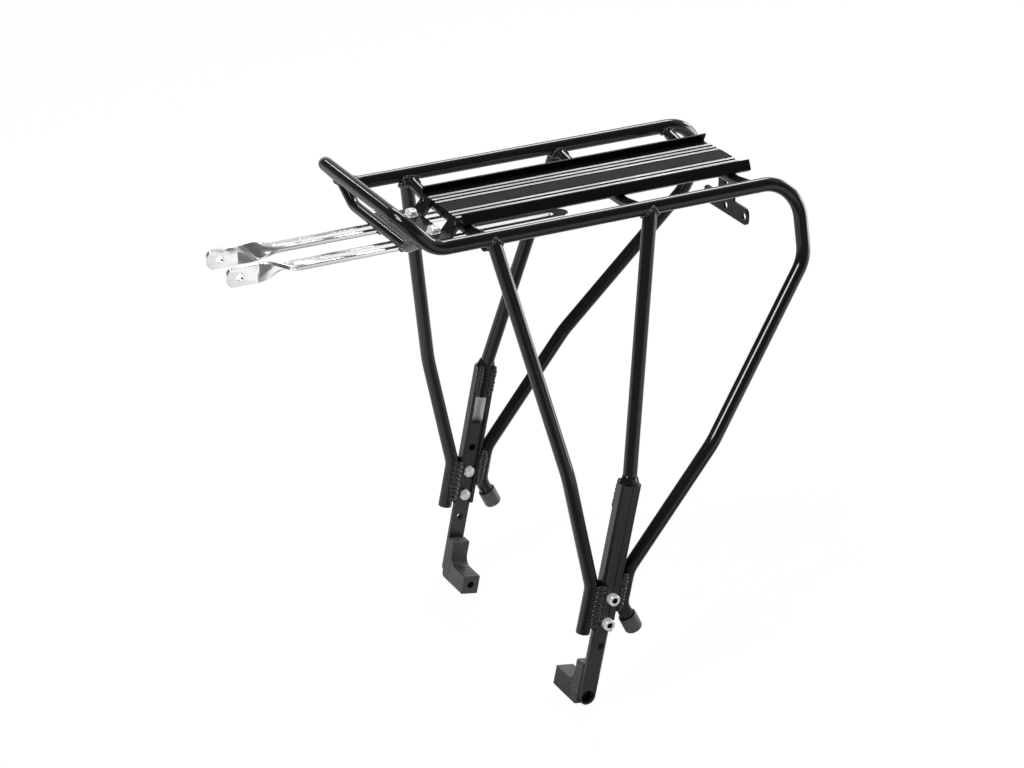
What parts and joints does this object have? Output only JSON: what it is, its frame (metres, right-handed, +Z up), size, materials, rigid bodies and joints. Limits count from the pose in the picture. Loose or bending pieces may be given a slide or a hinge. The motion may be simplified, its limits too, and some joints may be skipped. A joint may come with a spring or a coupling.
{
  "type": "bicycle rear carrier",
  "caption": "Bicycle rear luggage carrier with a ribbed deck, bent-tube frame, bowed telescopic legs and two sliding slotted stay arms.",
  "frame": {"origin": "midpoint between the two axle eyelets, on their common axis", "axes": "+X to the back of the bicycle, +Y to its right, +Z up"},
  "size_m": [0.4119, 0.239, 0.3793],
  "materials": {
    "gloss_black": "gloss black powder coat",
    "deck_black": "black anodised extrusion with bright rib crests",
    "satin_grey": "satin dark grey anodised",
    "polished_alloy": "polished",
    "zinc": "bright zinc plate",
    "cap_rubber": "satin black rubber"
  },
  "bodies": {
    "carrier": {"main_frame": "gloss_black", "front_leg_left": "gloss_black", "front_leg_right": "gloss_black", "middle_leg_left": "gloss_black", "middle_leg_right": "gloss_black", "cross_bar_front": "gloss_black", "cross_bar_middle": "gloss_black", "cross_bar_back": "gloss_black", "stay_bridge": "gloss_black", "clamp_bracket": "gloss_black", "bracket_rivets": "gloss_black", "leg_sleeve_left": "gloss_black", "leg_sleeve_right": "gloss_black", "leg_slider_left": "satin_grey", "leg_slider_right": "satin_grey", "foot_block_left": "satin_grey", "foot_block_right": "satin_grey", "leg_bolts": "zinc", "leg_nuts": "zinc", "deck_plate": "deck_black", "light_bracket": "gloss_black", "arm_guide": "gloss_black", "clamp_bolts": "zinc", "clamp_nuts": "zinc", "clamp_washers": "zinc", "end_cap_left": "cap_rubber", "end_cap_right": "cap_rubber"},
    "left_arm": {"stay_arm_left": "polished_alloy"},
    "right_arm": {"stay_arm_right": "polished_alloy"}
  },
  "joints": [
    {"name": "left_arm_slide", "type": "slide", "parent": "carrier", "child": "left_arm", "axis": [-1, 0, 0], "range_m": [-0.058, 0.087]},
    {"name": "right_arm_slide", "type": "slide", "parent": "carrier", "child": "right_arm", "axis": [-1, 0, 0], "range_m": [-0.058, 0.087]}
  ]
}
